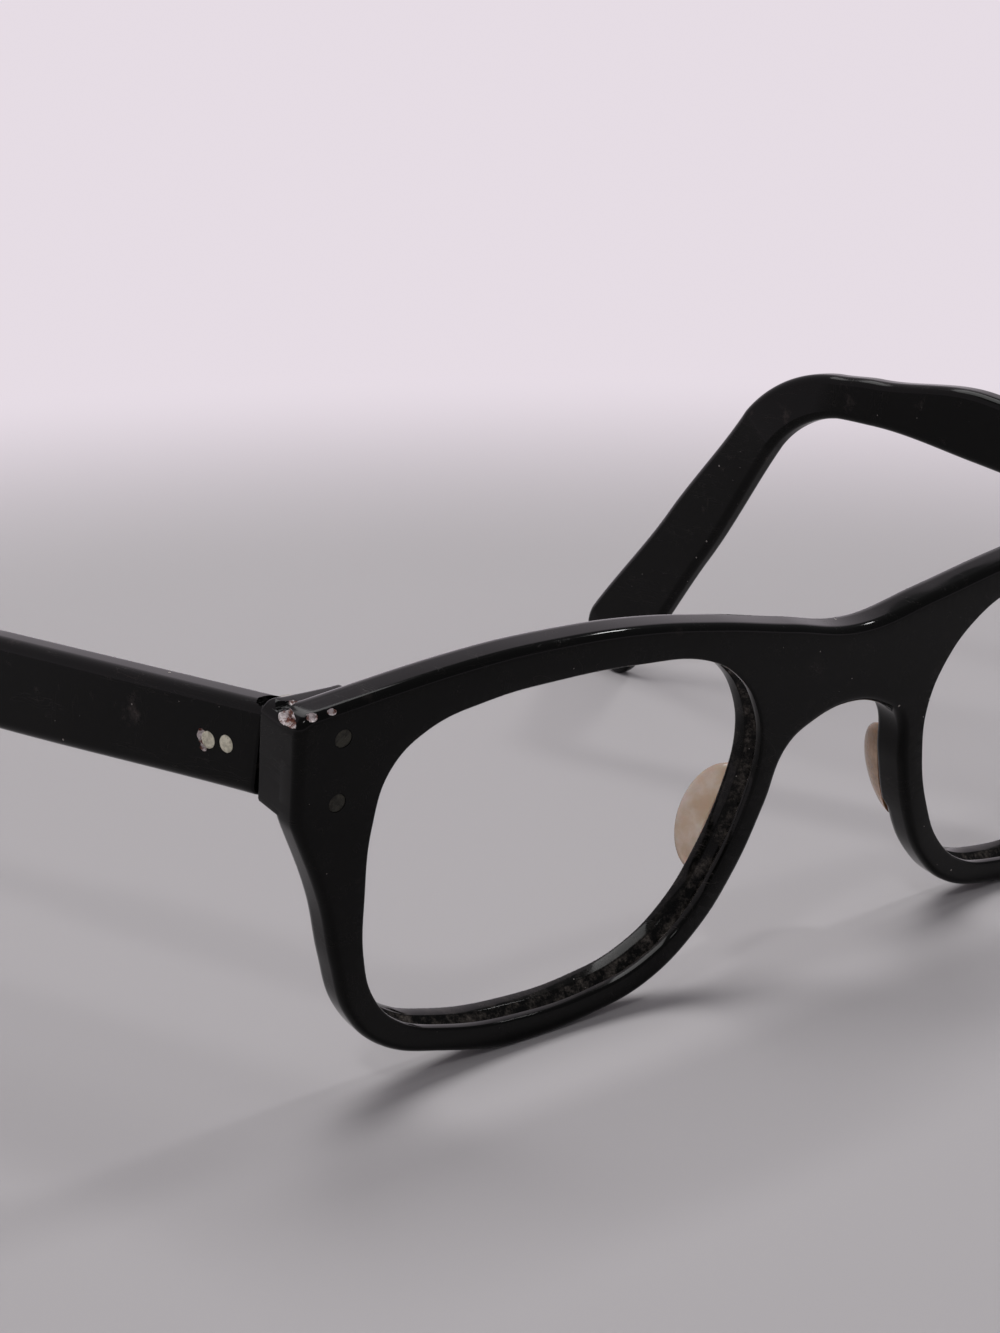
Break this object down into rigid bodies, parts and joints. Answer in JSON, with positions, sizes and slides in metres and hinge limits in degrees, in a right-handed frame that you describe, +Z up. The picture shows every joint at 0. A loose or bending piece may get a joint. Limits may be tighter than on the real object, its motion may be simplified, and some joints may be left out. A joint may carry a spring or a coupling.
{
  "type": "broken eyeglasses",
  "caption": "Thick black acetate spectacles without lenses, one endpiece chipped, with folding temples on riveted hinges.",
  "frame": {"origin": "on the table, under the middle of the open pair's outer box", "axes": "+Z up, front facing -Y and leaning forward, temples running back along +Y, wearer's right at -X"},
  "size_m": [0.1598, 0.1166, 0.049],
  "materials": {
    "black_acetate": "polished, dusty and scratched",
    "hinge_steel": "dull",
    "rivet_ends": "tarnished, flush with the acetate",
    "pad_acetate": "yellowed, translucent"
  },
  "bodies": {
    "front_body": {"front": "black_acetate", "front_hinge_right": "hinge_steel", "front_hinge_left": "hinge_steel", "hinge_screw_right": "hinge_steel", "hinge_screw_left": "hinge_steel", "front_rivet_right_upper": "rivet_ends", "front_rivet_right_lower": "rivet_ends", "front_rivet_left_upper": "rivet_ends", "front_rivet_left_lower": "rivet_ends", "nose_pad_right": "pad_acetate", "nose_pad_left": "pad_acetate"},
    "right_temple_body": {"temple_right": "black_acetate", "temple_hinge_right": "hinge_steel", "temple_rivet_right_front": "rivet_ends", "temple_rivet_right_rear": "rivet_ends"},
    "left_temple_body": {"temple_left": "black_acetate", "temple_hinge_left": "hinge_steel", "temple_rivet_left_front": "rivet_ends", "temple_rivet_left_rear": "rivet_ends"}
  },
  "joints": [
    {"name": "right_temple_fold", "type": "hinge", "parent": "front_body", "child": "right_temple_body", "pos_m": [-0.05178, -0.04898, 0.03574], "axis": [0, 0, -1], "range_deg": [0, 82]},
    {"name": "left_temple_fold", "type": "hinge", "parent": "front_body", "child": "left_temple_body", "pos_m": [0.07482, -0.04898, 0.03574], "axis": [0, 0, 1], "range_deg": [0, 80]}
  ]
}
